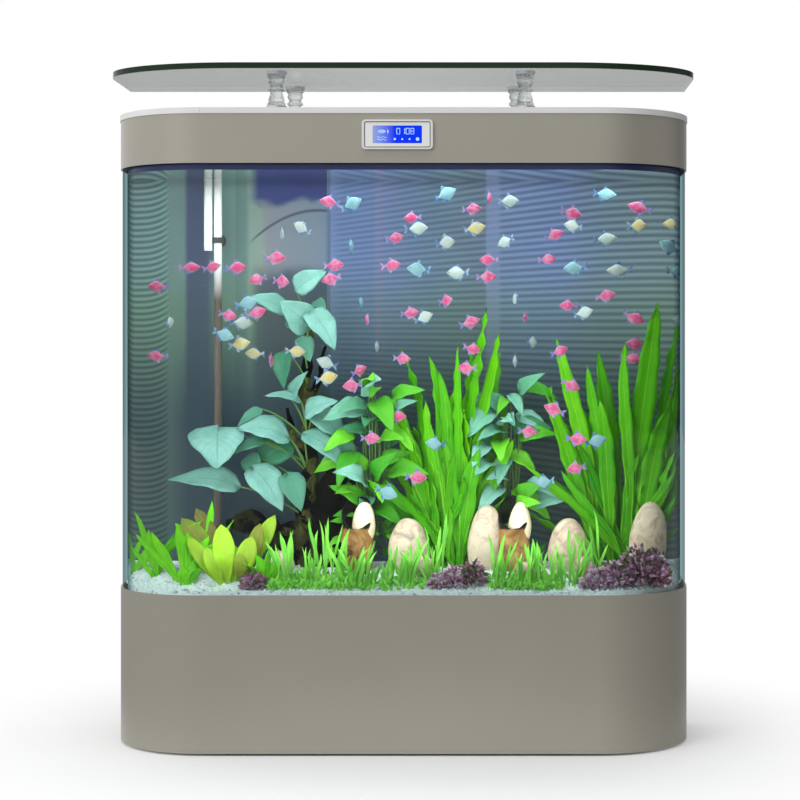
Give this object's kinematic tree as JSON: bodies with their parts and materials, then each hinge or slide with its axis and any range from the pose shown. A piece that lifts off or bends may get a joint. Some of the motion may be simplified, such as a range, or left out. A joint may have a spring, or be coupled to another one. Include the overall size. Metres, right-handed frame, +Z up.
{
  "type": "aquarium on stand",
  "caption": "Bow-cornered glass aquarium on a low cabinet, with a lift-off lighting and filter hood and a glass top on crystal columns.",
  "frame": {"origin": "on the floor, under the middle of the whole object's box", "axes": "+Z up, +X to the viewer's right, the front faces -Y"},
  "size_m": [1.222, 0.365, 1.404],
  "materials": {
    "hood_paint": "satin taupe paint",
    "cabinet_paint": "satin taupe paint",
    "board": "matte laminated board",
    "door_laminate": "matte grey laminate",
    "rubber_foot": "matte",
    "foam_mat": "matte foam",
    "hinge_steel": "satin",
    "catch_plastic": "matte",
    "tank_glass": "clear",
    "silicone": "satin",
    "background_film": "printed film",
    "gravel": "rough pale stones",
    "driftwood": "rough wet bark",
    "clay": "fired clay",
    "pebble": "smooth stone",
    "anubias_leaf": "waxy leaf",
    "sword_leaf": "thin leaf",
    "grass_leaf": "thin leaf",
    "red_leaf": "thin leaf",
    "moss": "soft clump",
    "pump_plastic": "matte",
    "pipe_plastic": "milky",
    "clip_rubber": "satin",
    "deck_plastic": "satin white",
    "tray_plastic": "matte",
    "sponge": "open foam",
    "lamp_aluminium": "brushed",
    "lamp_lens": "frosted",
    "panel_plastic": "fine matte grey",
    "bezel_plastic": "white",
    "lcd": "blue display",
    "chrome": "polished",
    "crystal": "faceted clear",
    "plate_glass": "thick float glass"
  },
  "bodies": {
    "tank_and_stand": {"cabinet_shell": "cabinet_paint", "cabinet_back_frame": "board", "cabinet_floor": "board", "cabinet_top_board": "board", "center_upright": "board", "foot_pads": "rubber_foot", "door_catches": "catch_plastic", "tank_mat": "foam_mat", "tank_bottom_glass": "tank_glass", "tank_bent_glass": "tank_glass", "tank_back_glass": "tank_glass", "silicone_seams": "silicone", "background_film": "background_film", "gravel_bed": "gravel", "driftwood": "driftwood", "clay_pot_left": "clay", "clay_pot_right": "clay", "egg_stones": "pebble", "anubias_left": "anubias_leaf", "anubias_middle": "anubias_leaf", "anubias_right": "anubias_leaf", "sword_plant_middle": "sword_leaf", "sword_plant_right": "sword_leaf", "grass_front": "grass_leaf", "tuft_left": "grass_leaf", "red_leaf_plant": "red_leaf", "moss_clumps": "moss", "pump": "pump_plastic", "riser_pipe": "pipe_plastic", "pipe_clips": "clip_rubber"},
    "hood": {"hood_shell": "hood_paint", "hood_deck": "deck_plastic", "filter_tray": "tray_plastic", "filter_sponge": "sponge", "return_pipe": "pipe_plastic", "lamp_housing": "lamp_aluminium", "lamp_diffuser": "lamp_lens", "lamp_brackets": "lamp_aluminium", "control_housing": "panel_plastic", "control_bezel": "bezel_plastic", "lcd_screen": "lcd", "column_bases": "chrome", "column_front_left": "crystal", "column_front_right": "crystal", "column_rear_left": "crystal", "column_rear_right": "crystal"},
    "lid_left": {"feeding_lid_left": "deck_plastic", "lid_pin_left": "hinge_steel"},
    "lid_right": {"feeding_lid_right": "deck_plastic", "lid_pin_right": "hinge_steel"},
    "top_plate": {"glass_top": "plate_glass", "glass_top_discs": "chrome"},
    "door_left": {"rear_door_left": "door_laminate", "door_pins_left": "hinge_steel"},
    "door_right": {"rear_door_right": "door_laminate", "door_pins_right": "hinge_steel"}
  },
  "joints": [
    {"name": "hood_lift", "type": "slide", "parent": "tank_and_stand", "child": "hood", "axis": [0, 0, 1], "range_m": [0, 0.25]},
    {"name": "glass_top_lift", "type": "slide", "parent": "hood", "child": "top_plate", "axis": [0, 0, 1], "range_m": [0, 0.15]},
    {"name": "feeding_lid_left_hinge", "type": "hinge", "parent": "hood", "child": "lid_left", "pos_m": [-0.38, 0.06, 1.312], "axis": [-1, 0, 0], "range_deg": [0, 80]},
    {"name": "feeding_lid_right_hinge", "type": "hinge", "parent": "hood", "child": "lid_right", "pos_m": [0.38, 0.06, 1.312], "axis": [-1, 0, 0], "range_deg": [0, 80]},
    {"name": "rear_door_left_hinge", "type": "hinge", "parent": "tank_and_stand", "child": "door_left", "pos_m": [-0.552, 0.1765, 0.14], "axis": [0, 0, 1], "range_deg": [0, 95]},
    {"name": "rear_door_right_hinge", "type": "hinge", "parent": "tank_and_stand", "child": "door_right", "pos_m": [0.552, 0.1765, 0.14], "axis": [0, 0, -1], "range_deg": [0, 95]}
  ]
}
